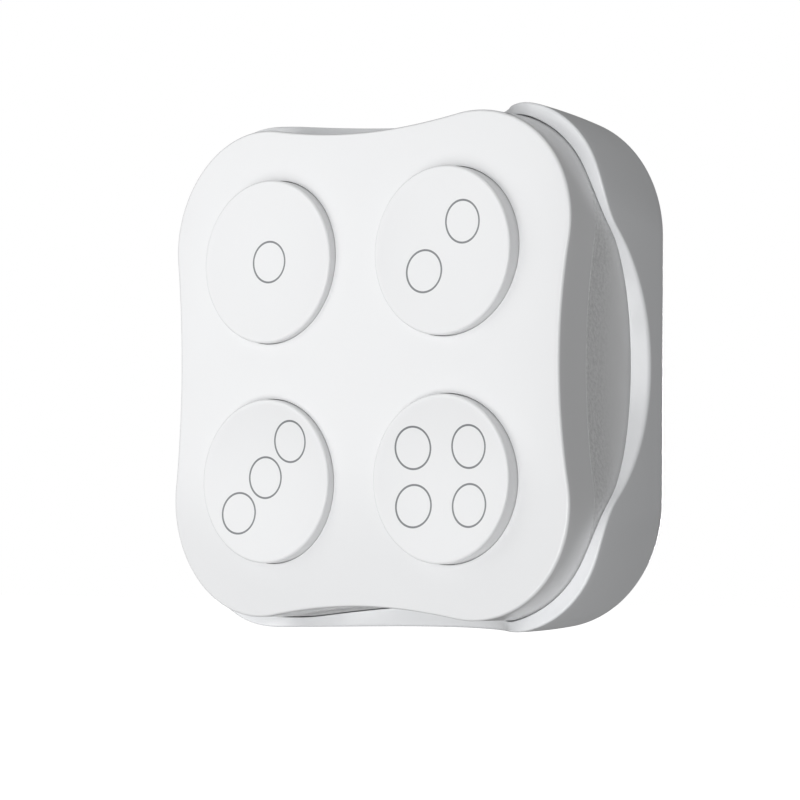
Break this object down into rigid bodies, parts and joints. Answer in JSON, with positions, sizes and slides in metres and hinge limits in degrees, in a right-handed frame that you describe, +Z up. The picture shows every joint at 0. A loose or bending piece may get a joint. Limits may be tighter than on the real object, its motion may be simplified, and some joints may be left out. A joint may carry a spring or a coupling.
{
  "type": "kinetic wireless switch",
  "caption": "Square wall switch with dished round push buttons in a domed, lobed face, a scooped rear shell and a press-driven generator that powers its radio.",
  "frame": {"origin": "middle of the back face, on the wall", "axes": "+X to the right and +Z up as the user faces the switch, +Y into the wall, so the buttons face -Y"},
  "size_m": [0.086, 0.0285, 0.086],
  "materials": {
    "gloss_white": "polished white moulding",
    "button_white": "satin to gloss white moulding with fine grey count rings",
    "satin_white": "white moulding with a fine spark texture",
    "foam": "closed-cell foam tape",
    "steel": "bright zinc plate",
    "dark_plastic": "black moulding",
    "natural_plastic": "natural moulding",
    "board": "green solder mask",
    "silicone": "translucent grey silicone",
    "tinned_can": "tinned sheet",
    "brass": "plain drawn wire",
    "iron": "soft iron and sintered magnet",
    "copper": "enamelled copper wire"
  },
  "bodies": {
    "case": {"front_cover": "gloss_white", "carrier_frame": "satin_white", "rear_shell": "gloss_white", "wall_plate": "satin_white", "adhesive_pads": "foam", "case_screws": "steel", "return_springs": "steel", "circuit_board": "board", "board_screws": "steel", "contact_domes": "silicone", "radio_module": "tinned_can", "storage_capacitors": "tinned_can", "rectifier": "dark_plastic", "voltage_regulator": "dark_plastic", "antenna_wire": "brass", "generator_frame": "natural_plastic", "iron_core": "iron", "coil_bobbins": "dark_plastic", "coil_windings": "copper", "pivot_pin": "steel"},
    "key_1": {"button_1": "button_white", "drive_spring_1": "steel"},
    "key_2": {"button_2": "button_white", "drive_spring_2": "steel"},
    "key_3": {"button_3": "button_white", "drive_spring_3": "steel"},
    "key_4": {"button_4": "button_white", "drive_spring_4": "steel"},
    "plate": {"press_plate": "dark_plastic"},
    "armature": {"rocker": "natural_plastic", "magnets": "iron", "pole_plates": "iron", "leaf_spring": "steel"}
  },
  "joints": [
    {"name": "button_1_press", "type": "slide", "parent": "case", "child": "key_1", "axis": [0, 1, 0], "range_m": [0, 0.002], "stiffness_N_per_m": 600, "springref_m": -0.0015, "deforming": ["drive_spring_1", "contact_domes"]},
    {"name": "button_2_press", "type": "slide", "parent": "case", "child": "key_2", "axis": [0, 1, 0], "range_m": [0, 0.002], "stiffness_N_per_m": 600, "springref_m": -0.0015, "deforming": ["drive_spring_2", "contact_domes"]},
    {"name": "button_3_press", "type": "slide", "parent": "case", "child": "key_3", "axis": [0, 1, 0], "range_m": [0, 0.002], "stiffness_N_per_m": 600, "springref_m": -0.0015, "deforming": ["drive_spring_3", "contact_domes"]},
    {"name": "button_4_press", "type": "slide", "parent": "case", "child": "key_4", "axis": [0, 1, 0], "range_m": [0, 0.002], "stiffness_N_per_m": 600, "springref_m": -0.0015, "deforming": ["drive_spring_4", "contact_domes"]},
    {"name": "plate_press", "type": "slide", "parent": "case", "child": "plate", "axis": [0, 1, 0], "range_m": [0, 0.0018], "stiffness_N_per_m": 800, "springref_m": -0.001, "deforming": ["return_springs", "drive_spring_1", "drive_spring_2", "drive_spring_3", "drive_spring_4"]},
    {"name": "rocker_flip", "type": "hinge", "parent": "case", "child": "armature", "pos_m": [0, -0.01075, 0], "axis": [1, 0, 0], "range_deg": [-8.9, 0]}
  ],
  "couplings": [
    {"joint": "rocker_flip", "follows": "plate_press", "rad_per_m": -77.5}
  ]
}
